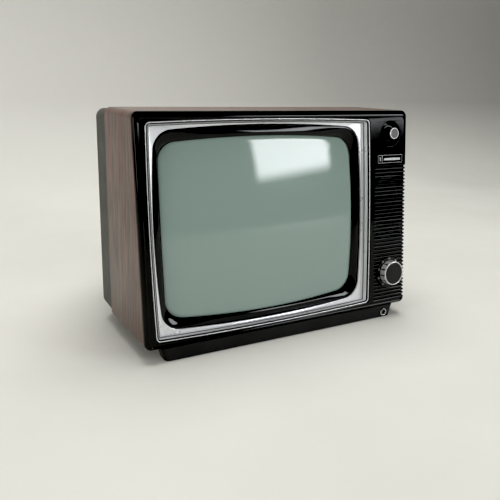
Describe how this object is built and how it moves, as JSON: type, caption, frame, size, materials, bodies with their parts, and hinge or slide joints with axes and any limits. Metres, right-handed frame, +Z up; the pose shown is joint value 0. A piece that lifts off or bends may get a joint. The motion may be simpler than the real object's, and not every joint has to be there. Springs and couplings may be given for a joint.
{
  "type": "tube television",
  "caption": "Table television with a wood-grain cabinet, leaning black front, silver-framed picture tube, ribbed speaker panel, turning tuning and volume knobs and a tapered rear cover.",
  "frame": {"origin": "centre of the bounding box's footprint, on the surface that the set stands on", "axes": "+X along the width, to the right as the viewer faces the screen; the screen faces -Y; +Z up"},
  "size_m": [0.39, 0.2948, 0.2842],
  "materials": {
    "wood_grain_wrap": "satin wood-grain wrap with straight upright grain",
    "gloss_black_plastic": "polished black moulding",
    "matt_black_plastic": "fine-textured dark grey moulding",
    "satin_silver": "vacuum-metallised satin silver",
    "chrome": "bright plated",
    "zinc_plated_steel": "plated sheet and turned steel",
    "tube_glass": "grey-green tinted face over pale phosphor",
    "ferrite": "sintered ferrite",
    "copper_winding": "enamelled copper wire",
    "circuit_board": "phenolic paper board",
    "black_rubber": "soft black rubber",
    "speaker_paper": "pressed paper cone",
    "capacitor_sleeve": "shrunk plastic sleeve"
  },
  "bodies": {
    "cabinet": {"cabinet_sleeve": "wood_grain_wrap", "front_bezel": "gloss_black_plastic", "tube_surround": "gloss_black_plastic", "volume_collar": "gloss_black_plastic", "front_foot": "matt_black_plastic", "rear_foot_left": "matt_black_plastic", "rear_foot_right": "matt_black_plastic", "rear_cover": "matt_black_plastic", "tuning_dial": "matt_black_plastic", "tube_base": "matt_black_plastic", "yoke_clamp": "matt_black_plastic", "screen_mask": "satin_silver", "name_plate": "satin_silver", "trim_frame": "chrome", "earphone_socket": "chrome", "tube_band": "zinc_plated_steel", "tube_screw_1": "zinc_plated_steel", "tube_screw_2": "zinc_plated_steel", "tube_screw_3": "zinc_plated_steel", "tube_screw_4": "zinc_plated_steel", "cover_screw_1": "zinc_plated_steel", "cover_screw_2": "zinc_plated_steel", "cover_screw_3": "zinc_plated_steel", "cover_screw_4": "zinc_plated_steel", "electron_gun": "zinc_plated_steel", "tuner_can": "zinc_plated_steel", "tuner_lid": "zinc_plated_steel", "volume_control": "zinc_plated_steel", "speaker_frame": "zinc_plated_steel", "mains_transformer": "zinc_plated_steel", "heatsink": "zinc_plated_steel", "preset_bracket": "zinc_plated_steel", "aerial_socket": "zinc_plated_steel", "picture_tube": "tube_glass", "yoke_core": "ferrite", "speaker_magnet": "ferrite", "yoke_windings": "copper_winding", "main_board": "circuit_board", "neck_board": "circuit_board", "anode_cap": "black_rubber", "anode_lead": "black_rubber", "mains_lead_gland": "black_rubber", "line_output_transformer": "black_rubber", "speaker_cone": "speaker_paper", "reservoir_capacitor": "capacitor_sleeve", "smoothing_capacitor": "capacitor_sleeve"},
    "tuning": {"tuning_knob": "satin_silver", "tuning_knob_rim": "chrome", "tuning_knob_cap": "matt_black_plastic", "tuning_spindle": "zinc_plated_steel"},
    "tuner_gang": {"tuner_rotor": "zinc_plated_steel"},
    "volume": {"volume_knob": "matt_black_plastic", "volume_knob_rim": "chrome", "volume_knob_cap": "matt_black_plastic", "volume_spindle": "zinc_plated_steel"},
    "contrast": {"contrast_knob": "matt_black_plastic"},
    "brightness": {"brightness_knob": "matt_black_plastic"},
    "vertical_hold": {"vertical_hold_knob": "matt_black_plastic"},
    "centring_magnet_front": {"centring_ring_front": "ferrite"},
    "centring_magnet_rear": {"centring_ring_rear": "ferrite"}
  },
  "joints": [
    {"name": "tuning_turn", "type": "hinge", "parent": "cabinet", "child": "tuning", "pos_m": [0.166, -0.13579, 0.06425], "axis": [0, 0.9946, -0.1033], "range_deg": [-161, 139]},
    {"name": "gang_turn", "type": "hinge", "parent": "cabinet", "child": "tuner_gang", "pos_m": [0.166, -0.13372, 0.08414], "axis": [0, 0.9946, -0.1033], "range_deg": [-83.5, 96.7]},
    {"name": "volume_turn", "type": "hinge", "parent": "cabinet", "child": "volume", "pos_m": [0.1653, -0.11606, 0.25423], "axis": [0, 0.9946, -0.1033], "range_deg": [0, 300]},
    {"name": "contrast_turn", "type": "hinge", "parent": "cabinet", "child": "contrast", "pos_m": [-0.092, 0.12936, 0.0515], "axis": [0, 1, 0], "range_deg": [-150, 150]},
    {"name": "brightness_turn", "type": "hinge", "parent": "cabinet", "child": "brightness", "pos_m": [-0.066, 0.12936, 0.0515], "axis": [0, 1, 0], "range_deg": [-150, 150]},
    {"name": "vertical_hold_turn", "type": "hinge", "parent": "cabinet", "child": "vertical_hold", "pos_m": [-0.04, 0.12936, 0.0515], "axis": [0, 1, 0], "range_deg": [-150, 150]},
    {"name": "centring_front_turn", "type": "hinge", "parent": "cabinet", "child": "centring_magnet_front", "pos_m": [-0.0255, 0.07201, 0.12893], "axis": [0, 0.9946, -0.1033], "continuous": true},
    {"name": "centring_rear_turn", "type": "hinge", "parent": "cabinet", "child": "centring_magnet_rear", "pos_m": [-0.0255, 0.07201, 0.12893], "axis": [0, 0.9946, -0.1033], "continuous": true}
  ],
  "couplings": [
    {"joint": "gang_turn", "follows": "tuning_turn", "ratio": -0.6}
  ]
}
